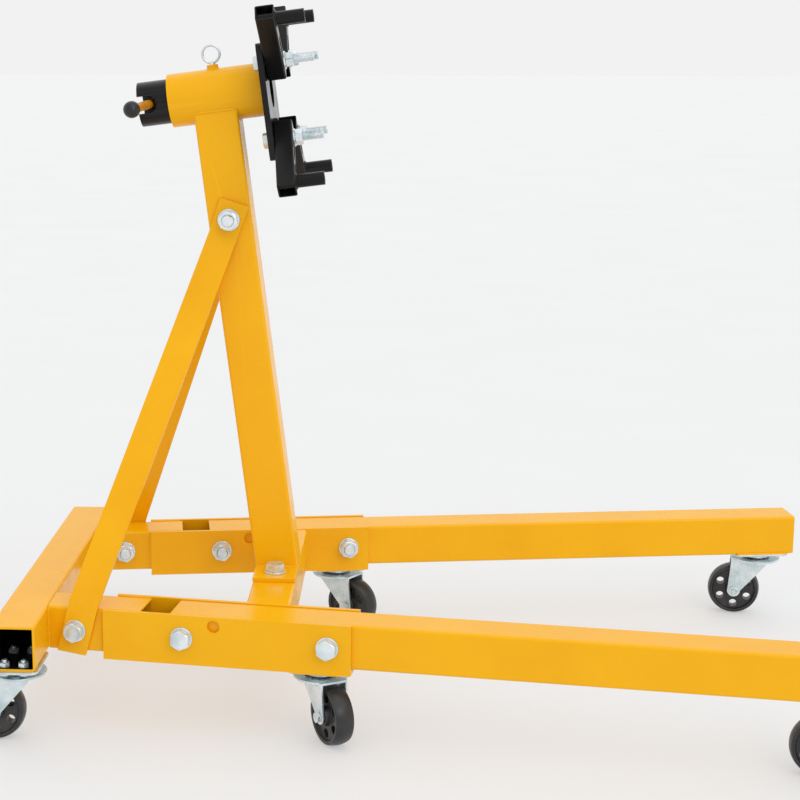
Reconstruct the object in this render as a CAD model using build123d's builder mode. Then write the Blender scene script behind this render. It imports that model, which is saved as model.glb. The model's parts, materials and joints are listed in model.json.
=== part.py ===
from build123d import *
from math import cos, radians, sin
import os

# Folding engine stand on six swivel casters, with a rotating head and four clamped arms.
# Millimetres, +Z up, +X forward along the legs, +Y to the stand's left.
# The origin is on the floor, at the middle of the stand's footprint.

os.makedirs("parts", exist_ok=True)

# ---------------------------------------------------------------- driving dimensions

SIDES = {"left": 1, "right": -1}

# Square tube of the crossbeams, stubs, legs and post.
TUBE = 60.0
TUBE_WALL = 3.0
TUBE_CORNER = 4.0
INNER_CORNER = 1.5
BASE_Z = 105.0           # underside of every level tube
BOLT_Z = 135.0           # axis of every cross bolt through a leg or stub

# Plan of the base, measured along X from the hub, the front edge of the post's foot plate.
SPLAY = 8.25             # each leg turns outwards by this many degrees
LEG_Y = 221.5            # leg centreline to the middle plane, level with the hub
BEAM_BACK = -353.0       # rear crossbeam centreline
BEAM_LENGTH = 590.0
CROSS_BACK = -30.0       # front cross tube centreline

# Stations along a leg's centreline, from the hub.
BRACE_BOLT_AT = -283.0
CHANNEL_REAR = -244.0
STUB_FRONT = -195.0
LEG_REAR = -154.0
PIVOT_AT = -136.0
STORAGE_HOLE_AT = -93.0
MID_CASTER_AT = 44.0
LOCK_AT = 59.0
CHANNEL_FRONT = 90.0
FRONT_CASTER_AT = 716.0
LEG_TIP = 766.0

CHANNEL_INSIDE = 61.0
CHANNEL_WALL = 6.0
CHANNEL_OUTSIDE = CHANNEL_INSIDE + 2 * CHANNEL_WALL
CHANNEL_FLOOR_TOP = BASE_Z - 0.8
CHANNEL_BOTTOM = CHANNEL_FLOOR_TOP - CHANNEL_WALL
CHANNEL_TOP = 166.0
LEG_HEEL = 15.0          # cut off a leg's lower rear corner, to clear the channel's floor
STORAGE_HOLE_Z = 153.0
WELD = 4.0

# Post, leaning back, on a foot plate over the front cross tube.
LEAN = 7.25
FOOT_PLATE = (60.0, 170.0, 6.0)
FOOT_BOLT_Y = 57.0
POST_START_Z = 170.0     # level of the rear face's first station
BARREL_UP = 661.0        # along the post to the barrel's axis
BARREL_RADIUS = 36.0
BARREL_REACH = (-32.0, 98.0)      # from the post's rear face, forwards
PIN_AT = 31.0

# Braces: flat bar, bent at two creases. Corners as (along or X, height).
BRACE_THICK = 6.0
LOW_TAB = ((-308.6, 105.8), (-269.3, 100.5), (-250.4, 169.9), (-289.6, 178.1))
HIGH_TAB = ((-120.9, 647.1), (-81.7, 639.5), (-65.6, 681.6), (-105.1, 693.6))
HIGH_BOLT = (-93.5, 663.7)

# Rotating head.
SHAFT_RADIUS = 30.0
SHAFT_BORE = 26.0
SHAFT_REACH = (-74.0, 99.0)
INDEX_HOLES = 12
INDEX_RADIUS = 4.3
PLATE_SIZE = 155.0
PLATE_CORNER = 8.0
PLATE_THICK = 8.0
PLATE_DROP = 15.5        # plate centre below the shaft's axis
BAR_AT = -59.5
BAR_RADIUS = 6.0
KNOB_AT = 172.0
KNOB_RADIUS = 11.0
NOTCH_RADIUS = 11.5

# Eye pin that locks the head, and its boss on the barrel.
PIN_RADIUS = 4.0
PIN_TIP = 22.0
EYE_UP = 55.5
EYE_RADIUS = 11.75
EYE_WIRE = 1.75
BOSS_RADIUS = 7.75
BOSS_TOP = 41.4

# Arms on the head plate's diagonals, measured from the plate's centre.
ARM_ANGLES = {"upper_left": 45.0, "upper_right": 135.0, "lower_right": 225.0, "lower_left": 315.0}
ARM_TUBE = 25.0
ARM_WALL = 2.0
ARM_REACH = (50.0, 163.0)
ARM_GAP = 0.3
ARM_BOLT_AT = 72.5
SLOT_REACH = (60.0, 116.0)
SLOT_WIDTH = 12.6
SLEEVE_AT = 149.0
SLEEVE_RADIUS = 9.0
SLEEVE_BORE = 6.25
SLEEVE_LENGTH = 63.0
CLAMP_SPARE = 28.0       # thread standing out past a clamp bolt's nut

# Swivel casters.
WHEEL_RADIUS = 40.0
TREAD_HALF = 13.0
HUB_HALF = 15.5
HUB_RADIUS = 12.0
BUSH_RADIUS = 6.0
WHEEL_HOLES = 6
WHEEL_HOLE_RADIUS = 6.0
WHEEL_HOLE_CIRCLE = 24.0
TRAIL = 32.0
CASTER_PLATE = (86.0, 66.0, 3.0)
CASTER_BOLTS = (54.0, 25.0)
SWIVEL_GAP = 8.3         # plate to fork crown
BALL_RADIUS = 4.0
BALLS = 10
BALL_CIRCLE = 16.0
RACE_RADIUS = 21.9
RACE_WALL = 1.6
KINGPIN_RADIUS = 6.0
CROWN_RADIUS = 37.0
FORK_SHEET = 3.0
FORK_INSIDE = 33.0
CHEEK_TOP = (-16.0, 38.0)
CHEEK_ROUND = 10.0

# Fasteners: shank radius, across flats, head height, nut height, washer radius, washer thickness.
M16 = (8.0, 24.0, 10.0, 13.0, 15.0, 3.0)
M12 = (6.0, 19.0, 7.5, 10.0, 12.0, 2.5)
M8 = (4.0, 13.0, 5.3, 6.5, 8.0, 1.6)
FIT = 0.05               # radial clearance of a bolt, pin or axle in its hole
SEAT = 0.05              # keeps stacked washers and nuts separate solids

# ---------------------------------------------------------------- worked-out places

REAR_EDGE = BEAM_BACK - TRAIL - WHEEL_RADIUS
FRONT_EDGE = LEG_TIP * cos(radians(SPLAY)) + TUBE / 2 * sin(radians(SPLAY))
HUB_X = -(REAR_EDGE + FRONT_EDGE) / 2
BEAM_X = HUB_X + BEAM_BACK
CROSS_X = HUB_X + CROSS_BACK
TUBE_TOP = BASE_Z + TUBE
FOOT_Z = TUBE_TOP + FOOT_PLATE[2]
FORWARD = Vector(cos(radians(LEAN)), 0, sin(radians(LEAN)))
UPWARD = Vector(-sin(radians(LEAN)), 0, cos(radians(LEAN)))
POST_BACK = Vector(HUB_X + CROSS_BACK - TUBE / 2, 0, POST_START_Z)
PLATE_BACK = SHAFT_REACH[1]
PLATE_FACE = PLATE_BACK + PLATE_THICK


def leg_point(side, along, across=0.0, height=0.0):
    """A point from a leg's own stations: along it, across it towards +Y, and up."""
    turn = radians(side * SPLAY)
    return Vector(
        HUB_X + along * cos(turn) - across * sin(turn),
        side * LEG_Y + along * sin(turn) + across * cos(turn),
        height,
    )


def leg_section(side, along, height):
    """Plane across a leg: x across it towards +Y, y up, z forward along it."""
    turn = radians(side * SPLAY)
    return Plane(
        origin=leg_point(side, along, 0, height),
        x_dir=(-sin(turn), cos(turn), 0),
        z_dir=(cos(turn), sin(turn), 0),
    )


def leg_side(side, along, height, outward=0.0):
    """Plane along a leg, its z pointing away from the stand's middle."""
    turn = radians(side * SPLAY)
    return Plane(
        origin=leg_point(side, along, side * outward, height),
        x_dir=(cos(turn), sin(turn), 0),
        z_dir=(-side * sin(turn), side * cos(turn), 0),
    )


def leg_level(side, along, height):
    """Level plane at a station of a leg: x forward along the leg, y across it, z up."""
    turn = radians(side * SPLAY)
    return Plane(
        origin=leg_point(side, along, 0, height), x_dir=(cos(turn), sin(turn), 0), z_dir=(0, 0, 1)
    )


def head_section(forward, up=0.0):
    """Plane across the barrel's axis: x to the left, y up along the post, z forward."""
    origin = POST_BACK + UPWARD * (BARREL_UP + up) + FORWARD * forward
    return Plane(origin=origin, x_dir=(0, 1, 0), z_dir=FORWARD)


def flipped(plane):
    """The same place, looking the other way."""
    return Plane(origin=plane.origin, x_dir=plane.x_dir, z_dir=-plane.z_dir)


def shifted(plane, x, y):
    """The same plane, its origin moved within it."""
    return Plane(
        origin=plane.origin + plane.x_dir * x + plane.y_dir * y, x_dir=plane.x_dir, z_dir=plane.z_dir
    )


# ---------------------------------------------------------------- shared builders


def tube_section(plane, size=TUBE, wall=TUBE_WALL, corner=TUBE_CORNER, inner=INNER_CORNER):
    with BuildSketch(plane) as section:
        RectangleRounded(size, size, corner)
        RectangleRounded(size - 2 * wall, size - 2 * wall, inner, mode=Mode.SUBTRACT)
    return section.sketch


def ring_section(plane, radius, bore=0.0):
    with BuildSketch(plane) as section:
        Circle(radius)
        if bore:
            Circle(bore, mode=Mode.SUBTRACT)
    return section.sketch


def hex_section(plane, flats, bore=0.0):
    with BuildSketch(plane) as section:
        RegularPolygon(radius=flats / 2, side_count=6, major_radius=False)
        if bore:
            Circle(bore, mode=Mode.SUBTRACT)
    return section.sketch


def outline(plane, points):
    with BuildSketch(plane) as section:
        with BuildLine():
            Polyline(*points, close=True)
        make_face()
    return section.sketch


def add_disc(plane, radius, length, bore=0.0):
    extrude(ring_section(plane, radius, bore), amount=length)


def drill(plane, radius, depth):
    """A hole through everything within the depth on both sides of a plane."""
    extrude(ring_section(plane, radius), amount=depth, both=True, mode=Mode.SUBTRACT)


def bore(plane, radius, depth):
    """A hole from a plane along its z."""
    extrude(ring_section(plane, radius), amount=depth, mode=Mode.SUBTRACT)


def add_bolt(face, size, shank, washer=True):
    """A bolt pushed into a face whose z points out of the work; shank is its depth inside."""
    radius, flats, head, _, washer_radius, thick = size
    seat = SEAT
    if washer:
        add_disc(face.offset(seat), washer_radius, thick, radius + FIT)
        seat += thick + SEAT
    extrude(hex_section(face.offset(seat), flats), amount=head)
    add_disc(face.offset(seat), radius, -(shank + seat))


def add_nut(face, size, washer=True):
    """A nut and its washer on a face whose z points out of the work."""
    radius, flats, _, height, washer_radius, thick = size
    seat = SEAT
    if washer:
        add_disc(face.offset(seat), washer_radius, thick, radius + FIT)
        seat += thick + SEAT
    extrude(hex_section(face.offset(seat), flats, radius + FIT), amount=height)


def through_bolt(face, size, grip, spare=4.0):
    """A bolt right through the work, with a washer at both ends and its nut."""
    add_bolt(face, size, grip + size[5] + size[3] + spare)
    add_nut(flipped(face.offset(-grip)), size)


def save(part, name):
    part.label = name
    export_step(part, f"parts/{name}.step")


# ---------------------------------------------------------------- casters

MID_TRAIL = {"left": -35.0, "right": -60.0}
# name: swivel's place, plate's top, heading of the plate's long side, heading of the trail
CASTERS = {}
for name, side in SIDES.items():
    rear_swivel = Vector(BEAM_X, side * (BEAM_LENGTH / 2 - 37.0), 0)
    CASTERS[f"rear_{name}"] = (rear_swivel, BASE_Z, 90.0, 180.0)
    mid_swivel = leg_point(side, MID_CASTER_AT)
    CASTERS[f"mid_{name}"] = (mid_swivel, CHANNEL_BOTTOM, side * SPLAY, MID_TRAIL[name])
    front_swivel = leg_point(side, FRONT_CASTER_AT)
    CASTERS[f"front_{name}"] = (front_swivel, BASE_Z, side * SPLAY, 172.0)


def swivel_level(caster, height, heading):
    place = CASTERS[caster][0]
    return Plane(
        origin=(place.X, place.Y, height),
        x_dir=(cos(radians(heading)), sin(radians(heading)), 0),
        z_dir=(0, 0, 1),
    )


def crown_height(caster):
    return CASTERS[caster][1] - CASTER_PLATE[2] - SWIVEL_GAP


def drill_caster_bolts(caster):
    _, top, heading, _ = CASTERS[caster]
    level = swivel_level(caster, top, heading)
    for x in (-CASTER_BOLTS[0] / 2, CASTER_BOLTS[0] / 2):
        for y in (-CASTER_BOLTS[1] / 2, CASTER_BOLTS[1] / 2):
            drill(shifted(level, x, y), M8[0] + FIT, TUBE_WALL + 2.0)


def add_caster_plate(caster):
    """Top plate with its ball race and the kingpin riveted through it."""
    _, top, heading, _ = CASTERS[caster]
    under = top - CASTER_PLATE[2]
    with BuildSketch(swivel_level(caster, under, heading)) as blank:
        RectangleRounded(CASTER_PLATE[0], CASTER_PLATE[1], 10.0)
        if caster.startswith("rear"):
            with GridLocations(CASTER_BOLTS[0], CASTER_BOLTS[1], 2, 2):
                Circle(M8[0] + FIT, mode=Mode.SUBTRACT)
    extrude(blank.sketch, amount=CASTER_PLATE[2])
    race = SWIVEL_GAP - 2.0
    add_disc(swivel_level(caster, under, 0), RACE_RADIUS, -race, RACE_RADIUS - RACE_WALL)
    crown_under = crown_height(caster) - FORK_SHEET
    add_disc(swivel_level(caster, under, 0), KINGPIN_RADIUS, crown_under - 1.0 - under)
    add_disc(swivel_level(caster, crown_under - 0.3, 0), KINGPIN_RADIUS + 3.5, -2.0)


def add_swivel_balls(caster):
    under = CASTERS[caster][1] - CASTER_PLATE[2]
    level = swivel_level(caster, under - BALL_RADIUS, 0)
    for index in range(BALLS):
        turn = radians(360.0 * index / BALLS)
        with Locations(shifted(level, BALL_CIRCLE * cos(turn), BALL_CIRCLE * sin(turn)).origin):
            Sphere(BALL_RADIUS)


def add_caster_bolts(caster):
    """Four bolts up through the plate, with their nuts inside the tube."""
    _, top, heading, _ = CASTERS[caster]
    grip = CASTER_PLATE[2] + TUBE_WALL
    under = flipped(swivel_level(caster, top - CASTER_PLATE[2], heading))
    for x in (-CASTER_BOLTS[0] / 2, CASTER_BOLTS[0] / 2):
        for y in (-CASTER_BOLTS[1] / 2, CASTER_BOLTS[1] / 2):
            face = shifted(under, x, y)
            add_bolt(face, M8, grip + M8[3] + 3.0, washer=False)
            add_nut(flipped(face.offset(-grip)), M8, washer=False)


def axle_plane(caster):
    """Upright plane on the wheel's middle: x along the trail, y up, z along the axle."""
    place, _, _, trail = CASTERS[caster]
    heading = Vector(cos(radians(trail)), sin(radians(trail)), 0)
    hub = Vector(place.X, place.Y, WHEEL_RADIUS) + heading * TRAIL
    return Plane(origin=hub, x_dir=heading, z_dir=(heading.Y, -heading.X, 0))


def add_fork(caster):
    """Pressed fork: round crown, bent down into two tapering cheeks."""
    crown = crown_height(caster)
    level = swivel_level(caster, crown, CASTERS[caster][3])
    outside = FORK_INSIDE + 2 * FORK_SHEET
    with BuildSketch(level) as blank:
        Circle(CROWN_RADIUS)
        with Locations((sum(CHEEK_TOP) / 2, 0)):
            Rectangle(CHEEK_TOP[1] - CHEEK_TOP[0], outside)
    extrude(blank.sketch, amount=-FORK_SHEET)
    middle = axle_plane(caster)
    top = crown - FORK_SHEET / 2 - WHEEL_RADIUS
    front = CHEEK_TOP[0] - TRAIL
    back = CHEEK_TOP[1] - TRAIL
    for cheek in (1, -1):
        face = middle.offset(cheek * FORK_INSIDE / 2)
        with BuildSketch(face) as sheet:
            with BuildLine():
                Polyline(
                    (front, top), (front, top - 8.0), (-CHEEK_ROUND, 0), (CHEEK_ROUND, 0),
                    (back, top - 8.0), (back, top), (front, top),
                )
            make_face()
            Circle(CHEEK_ROUND)
            Circle(M8[0] + FIT, mode=Mode.SUBTRACT)
        extrude(sheet.sketch, amount=cheek * FORK_SHEET)
    drill(level, KINGPIN_RADIUS + FIT, 10.0)


def add_axle(caster):
    """Axle bolt across the fork, its nut, and the bush the wheel turns on."""
    reach = FORK_INSIDE / 2 + FORK_SHEET
    middle = axle_plane(caster)
    face = middle.offset(reach)
    add_bolt(face, M8, 2 * reach + M8[3] + 2.0, washer=False)
    add_nut(flipped(middle.offset(-reach)), M8, washer=False)
    bush = FORK_INSIDE / 2 - SEAT
    extrude(ring_section(middle, BUSH_RADIUS, M8[0] + FIT), amount=bush, both=True)


def add_wheel(caster):
    """Moulded wheel: crowned tread, dished web with six round holes, and hub."""
    middle = axle_plane(caster)
    bush = BUSH_RADIUS + FIT
    profile = Plane(origin=middle.origin, x_dir=middle.x_dir, z_dir=-middle.y_dir)
    web = 9.0
    rim = WHEEL_RADIUS - 7.0
    edge = WHEEL_RADIUS - 2.5
    with BuildSketch(profile) as half:
        with BuildLine():
            Polyline(
                (edge, -TREAD_HALF), (rim, -TREAD_HALF), (rim - 1.5, -web), (HUB_RADIUS + 1.5, -web),
                (HUB_RADIUS, -HUB_HALF), (bush, -HUB_HALF), (bush, HUB_HALF), (HUB_RADIUS, HUB_HALF),
                (HUB_RADIUS + 1.5, web), (rim - 1.5, web), (rim, TREAD_HALF), (edge, TREAD_HALF),
            )
            ThreePointArc((edge, TREAD_HALF), (WHEEL_RADIUS, 0), (edge, -TREAD_HALF))
        make_face()
    revolve(half.sketch, axis=Axis(middle.origin, middle.z_dir))
    with BuildSketch(middle) as holes:
        with PolarLocations(WHEEL_HOLE_CIRCLE, WHEEL_HOLES, start_angle=30.0):
            Circle(WHEEL_HOLE_RADIUS)
    extrude(holes.sketch, amount=TREAD_HALF, both=True, mode=Mode.SUBTRACT)


for caster in CASTERS:
    with BuildPart() as fork:
        add_fork(caster)
    save(fork.part, f"fork_{caster}")
    with BuildPart() as caster_axle:
        add_axle(caster)
    save(caster_axle.part, f"caster_axle_{caster}")
    with BuildPart() as wheel:
        add_wheel(caster)
    save(wheel.part, f"wheel_{caster}")

FIXED_CASTERS = [caster for caster in CASTERS if not caster.startswith("front")]
with BuildPart() as frame_caster_plates:
    for caster in FIXED_CASTERS:
        add_caster_plate(caster)
save(frame_caster_plates.part, "frame_caster_plates")

with BuildPart() as frame_swivel_balls:
    for caster in FIXED_CASTERS:
        add_swivel_balls(caster)
save(frame_swivel_balls.part, "frame_swivel_balls")

with BuildPart() as rear_caster_bolts:
    for name in SIDES:
        add_caster_bolts(f"rear_{name}")
save(rear_caster_bolts.part, "rear_caster_bolts")

for name in SIDES:
    with BuildPart() as leg_caster_plate:
        add_caster_plate(f"front_{name}")
    save(leg_caster_plate.part, f"leg_caster_plate_{name}")
    with BuildPart() as leg_swivel_balls:
        add_swivel_balls(f"front_{name}")
    save(leg_swivel_balls.part, f"leg_swivel_balls_{name}")

# ---------------------------------------------------------------- base

with BuildPart() as rear_crossbeam:
    middle = Plane(origin=(BEAM_X, 0, BOLT_Z), x_dir=(1, 0, 0), z_dir=(0, -1, 0))
    extrude(tube_section(middle), amount=BEAM_LENGTH / 2, both=True)
    for name in SIDES:
        drill_caster_bolts(f"rear_{name}")
save(rear_crossbeam.part, "rear_crossbeam")

with BuildPart() as cross_tube:
    middle = Plane(origin=(CROSS_X, 0, BOLT_Z), x_dir=(1, 0, 0), z_dir=(0, -1, 0))
    extrude(tube_section(middle), amount=LEG_Y, both=True)
    for side in SIDES.values():
        split(bisect_by=leg_side(side, 0, 0, -CHANNEL_OUTSIDE / 2), keep=Keep.BOTTOM)
    for y in (-FOOT_BOLT_Y, FOOT_BOLT_Y):
        drill(Plane(origin=(CROSS_X, y, TUBE_TOP)), M16[0] + FIT, 10.0)
save(cross_tube.part, "cross_tube")

for name, side in SIDES.items():
    with BuildPart() as stub:
        extrude(tube_section(leg_section(side, STUB_FRONT, BOLT_Z)), amount=BEAM_BACK - STUB_FRONT)
        split(bisect_by=Plane.YZ.offset(BEAM_X + TUBE / 2), keep=Keep.TOP)
        drill(leg_side(side, BRACE_BOLT_AT, BOLT_Z), M16[0] + FIT, TUBE)
    save(stub.part, f"stub_{name}")

    with BuildPart() as channel:
        with BuildSketch(leg_section(side, CHANNEL_REAR, CHANNEL_BOTTOM)) as trough:
            with Locations((0, (CHANNEL_TOP - CHANNEL_BOTTOM) / 2)):
                Rectangle(CHANNEL_OUTSIDE, CHANNEL_TOP - CHANNEL_BOTTOM)
            with Locations((0, CHANNEL_WALL + TUBE)):
                Rectangle(CHANNEL_INSIDE, 2 * TUBE, mode=Mode.SUBTRACT)
        extrude(trough.sketch, amount=CHANNEL_FRONT - CHANNEL_REAR)
        for along in (PIVOT_AT, LOCK_AT):
            drill(leg_side(side, along, BOLT_Z), M16[0] + FIT, TUBE)
        drill(leg_side(side, STORAGE_HOLE_AT, STORAGE_HOLE_Z), M16[0] + 0.5, TUBE)
        # Upright welds from the channel's rear end to the stub's sides.
        for edge in (-1, 1):
            corner = edge * TUBE / 2
            bead = ((0, corner), (0, corner + edge * WELD), (-WELD, corner))
            level = leg_level(side, CHANNEL_REAR, BASE_Z + TUBE_CORNER)
            extrude(outline(level, bead), amount=TUBE - 2 * TUBE_CORNER)
    save(channel.part, f"channel_{name}")

    with BuildPart() as leg:
        extrude(tube_section(leg_section(side, LEG_REAR, BOLT_Z)), amount=LEG_TIP - LEG_REAR)
        heel = Plane(
            origin=leg_point(side, LEG_REAR, 0, BASE_Z),
            x_dir=(cos(radians(SPLAY)), side * sin(radians(SPLAY)), 0),
            z_dir=(side * sin(radians(SPLAY)), -cos(radians(SPLAY)), 0),
        )
        corner = ((-1, -1), (LEG_HEEL, -1), (LEG_HEEL, 0), (0, LEG_HEEL), (-1, LEG_HEEL))
        extrude(outline(heel, corner), amount=TUBE, both=True, mode=Mode.SUBTRACT)
        for along in (PIVOT_AT, LOCK_AT):
            drill(leg_side(side, along, BOLT_Z), M16[0] + FIT, TUBE)
    save(leg.part, f"leg_{name}")

    with BuildPart() as lock_bolt:
        outer = leg_side(side, LOCK_AT, BOLT_Z, CHANNEL_OUTSIDE / 2)
        add_bolt(outer, M16, CHANNEL_OUTSIDE + M16[5] + M16[3] + 4.0)
    save(lock_bolt.part, f"lock_bolt_{name}")

with BuildPart() as leg_pivot_bolts:
    for side in SIDES.values():
        outer = leg_side(side, PIVOT_AT, BOLT_Z, CHANNEL_OUTSIDE / 2)
        through_bolt(outer, M16, CHANNEL_OUTSIDE)
save(leg_pivot_bolts.part, "leg_pivot_bolts")

with BuildPart() as lock_nuts:
    for side in SIDES.values():
        add_nut(flipped(leg_side(side, LOCK_AT, BOLT_Z, -CHANNEL_OUTSIDE / 2)), M16)
save(lock_nuts.part, "lock_nuts")

# ---------------------------------------------------------------- post, barrel and braces

with BuildPart() as post_foot_plate:
    with BuildSketch(Plane(origin=(CROSS_X, 0, TUBE_TOP))) as blank:
        RectangleRounded(FOOT_PLATE[0], FOOT_PLATE[1], 2.0)
        with Locations((0, -FOOT_BOLT_Y), (0, FOOT_BOLT_Y)):
            Circle(M16[0] + FIT, mode=Mode.SUBTRACT)
    extrude(blank.sketch, amount=FOOT_PLATE[2])
save(post_foot_plate.part, "post_foot_plate")

with BuildPart() as foot_bolts:
    for y in (-FOOT_BOLT_Y, FOOT_BOLT_Y):
        through_bolt(Plane(origin=(CROSS_X, y, FOOT_Z)), M16, FOOT_PLATE[2] + TUBE_WALL)
save(foot_bolts.part, "foot_bolts")

high_bolt_line = Plane(
    origin=(HUB_X + HIGH_BOLT[0], 0, HIGH_BOLT[1]), x_dir=(1, 0, 0), z_dir=(0, -1, 0)
)

with BuildPart() as post:
    start = Plane(origin=POST_BACK + FORWARD * TUBE / 2, x_dir=FORWARD, z_dir=UPWARD)
    extrude(tube_section(start.offset(-20.0)), amount=BARREL_UP + 20.0)
    split(bisect_by=Plane.XY.offset(FOOT_Z), keep=Keep.TOP)
    bore(head_section(-TUBE), BARREL_RADIUS, 4 * TUBE)
    drill(high_bolt_line, M16[0] + FIT, TUBE)
save(post.part, "post")

pin_line = Plane(origin=head_section(PIN_AT).origin, x_dir=FORWARD, z_dir=UPWARD)

with BuildPart() as barrel:
    add_disc(pin_line, BOSS_RADIUS, BOSS_TOP)
    add_disc(head_section(BARREL_REACH[0]), BARREL_RADIUS, BARREL_REACH[1] - BARREL_REACH[0])
    bore(head_section(BARREL_REACH[0]), SHAFT_RADIUS + FIT, 4 * TUBE)
    bore(pin_line, PIN_RADIUS + FIT, 2 * TUBE)
save(barrel.part, "barrel")


def crease_section(first, second, outward):
    """Cross-section of a brace at a crease, from one inner corner to the other."""
    width = second - first
    middle = (first + second) / 2 + outward * (BRACE_THICK / 2)
    along = width.normalized()
    with BuildSketch(Plane(origin=middle, x_dir=along, z_dir=along.cross(outward))) as section:
        Rectangle(width.length, BRACE_THICK)
    return section.sketch


for name, side in SIDES.items():
    stub_face = leg_side(side, 0, 0, TUBE / 2)
    post_face = Plane(origin=(HUB_X, side * TUBE / 2, 0), x_dir=(1, 0, 0), z_dir=(0, side, 0))
    low_corners = [leg_point(side, s, side * TUBE / 2, z) for s, z in LOW_TAB]
    high_corners = [Vector(HUB_X + x, side * TUBE / 2, z) for x, z in HIGH_TAB]
    with BuildPart() as brace:
        for face, corners in ((stub_face, low_corners), (post_face, high_corners)):
            local = [face.to_local_coords(corner) for corner in corners]
            extrude(outline(face, [(point.X, point.Y) for point in local]), amount=BRACE_THICK)
        low_crease = crease_section(low_corners[3], low_corners[2], stub_face.z_dir)
        high_crease = crease_section(high_corners[0], high_corners[1], post_face.z_dir)
        loft([low_crease, high_crease], ruled=True)
        drill(leg_side(side, BRACE_BOLT_AT, BOLT_Z), M16[0] + FIT, TUBE)
        drill(high_bolt_line, M16[0] + FIT, TUBE)
    save(brace.part, f"brace_{name}")

with BuildPart() as brace_bolts:
    for side in SIDES.values():
        outer = leg_side(side, BRACE_BOLT_AT, BOLT_Z, TUBE / 2 + BRACE_THICK)
        through_bolt(outer, M16, TUBE + BRACE_THICK)
    grip = TUBE + 2 * BRACE_THICK
    through_bolt(flipped(high_bolt_line.offset(-grip / 2)), M16, grip)
save(brace_bolts.part, "brace_bolts")

# ---------------------------------------------------------------- head

bar_line = Plane(origin=head_section(BAR_AT).origin, x_dir=FORWARD, z_dir=(0, -1, 0))

with BuildPart() as spindle_tube:
    add_disc(head_section(SHAFT_REACH[0]), SHAFT_RADIUS, SHAFT_REACH[1] - SHAFT_REACH[0], SHAFT_BORE)
    for index in range(INDEX_HOLES):
        turn = radians(360.0 * index / INDEX_HOLES)
        spoke = UPWARD * cos(turn) + Vector(0, sin(turn), 0)
        bore(Plane(origin=pin_line.origin, x_dir=FORWARD, z_dir=spoke), INDEX_RADIUS, 2 * TUBE)
    bore(flipped(bar_line), BAR_RADIUS + FIT, TUBE)
    # A notch in the right wall, open to the rear, lets a knob in.
    bore(bar_line, NOTCH_RADIUS, TUBE)
    with BuildSketch(shifted(bar_line, -TUBE / 2, 0)) as mouth:
        Rectangle(TUBE, 2 * NOTCH_RADIUS)
    extrude(mouth.sketch, amount=TUBE, mode=Mode.SUBTRACT)
save(spindle_tube.part, "spindle_tube")

with BuildPart() as head_plate:
    with BuildSketch(head_section(PLATE_BACK, -PLATE_DROP)) as blank:
        RectangleRounded(PLATE_SIZE, PLATE_SIZE, PLATE_CORNER)
        with PolarLocations(ARM_BOLT_AT, len(ARM_ANGLES), start_angle=45.0):
            Circle(M12[0] + FIT, mode=Mode.SUBTRACT)
    extrude(blank.sketch, amount=PLATE_THICK)
    bore(head_section(PLATE_BACK), SHAFT_BORE, TUBE)
save(head_plate.part, "head_plate")

with BuildPart() as turning_bar:
    extrude(ring_section(bar_line, BAR_RADIUS), amount=KNOB_AT + 3.0, both=True)
    chamfer(turning_bar.edges().filter_by(GeomType.CIRCLE), 1.0)
save(turning_bar.part, "turning_bar")

with BuildPart() as bar_knobs:
    for reach in (-KNOB_AT, KNOB_AT):
        with Locations(bar_line.offset(reach).origin):
            Sphere(KNOB_RADIUS)
    extrude(ring_section(bar_line, BAR_RADIUS + FIT), amount=KNOB_AT + 3.1, both=True, mode=Mode.SUBTRACT)
save(bar_knobs.part, "bar_knobs")

with BuildPart() as lock_pin:
    add_disc(pin_line.offset(PIN_TIP), PIN_RADIUS, EYE_UP - EYE_RADIUS - PIN_TIP)
    eye = Plane(origin=pin_line.offset(EYE_UP).origin, x_dir=FORWARD, z_dir=(0, -1, 0))
    with Locations(eye.location):
        Torus(EYE_RADIUS, EYE_WIRE)
save(lock_pin.part, "lock_pin")


def arm_face(angle, radius, forward):
    """Plane parallel to the head plate at a point on a diagonal: x outwards along it."""
    centre = head_section(forward, -PLATE_DROP)
    outwards = centre.x_dir * cos(radians(angle)) + centre.y_dir * sin(radians(angle))
    return Plane(origin=centre.origin + outwards * radius, x_dir=outwards, z_dir=centre.z_dir)


for name, angle in ARM_ANGLES.items():
    back = PLATE_FACE + ARM_GAP
    with BuildPart() as arm:
        inner_end = arm_face(angle, ARM_REACH[0], back + ARM_TUBE / 2)
        section = Plane(origin=inner_end.origin, x_dir=inner_end.z_dir, z_dir=inner_end.x_dir)
        extrude(
            tube_section(section, ARM_TUBE, ARM_WALL, 2.5, 0.8), amount=ARM_REACH[1] - ARM_REACH[0]
        )
        with BuildSketch(arm_face(angle, sum(SLOT_REACH) / 2, PLATE_FACE)) as slot:
            SlotOverall(SLOT_REACH[1] - SLOT_REACH[0], SLOT_WIDTH)
        extrude(slot.sketch, amount=2 * ARM_TUBE, mode=Mode.SUBTRACT)
        add_disc(arm_face(angle, SLEEVE_AT, back), SLEEVE_RADIUS, SLEEVE_LENGTH)
        bore(arm_face(angle, SLEEVE_AT, PLATE_FACE), SLEEVE_BORE, 2 * SLEEVE_LENGTH)
    save(arm.part, f"arm_{name}")

    with BuildPart() as clamp_bolt:
        head_seat = flipped(arm_face(angle, ARM_BOLT_AT, PLATE_BACK))
        grip = PLATE_THICK + ARM_GAP + ARM_TUBE
        add_bolt(head_seat, M12, grip + M12[5] + M12[3] + CLAMP_SPARE, washer=False)
        add_nut(flipped(head_seat.offset(-grip)), M12)
    save(clamp_bolt.part, f"clamp_bolt_{name}")
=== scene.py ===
import json
from math import cos, pi, radians, sin, sqrt, tan

import bmesh
import bpy
from mathutils import Matrix, Vector


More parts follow.
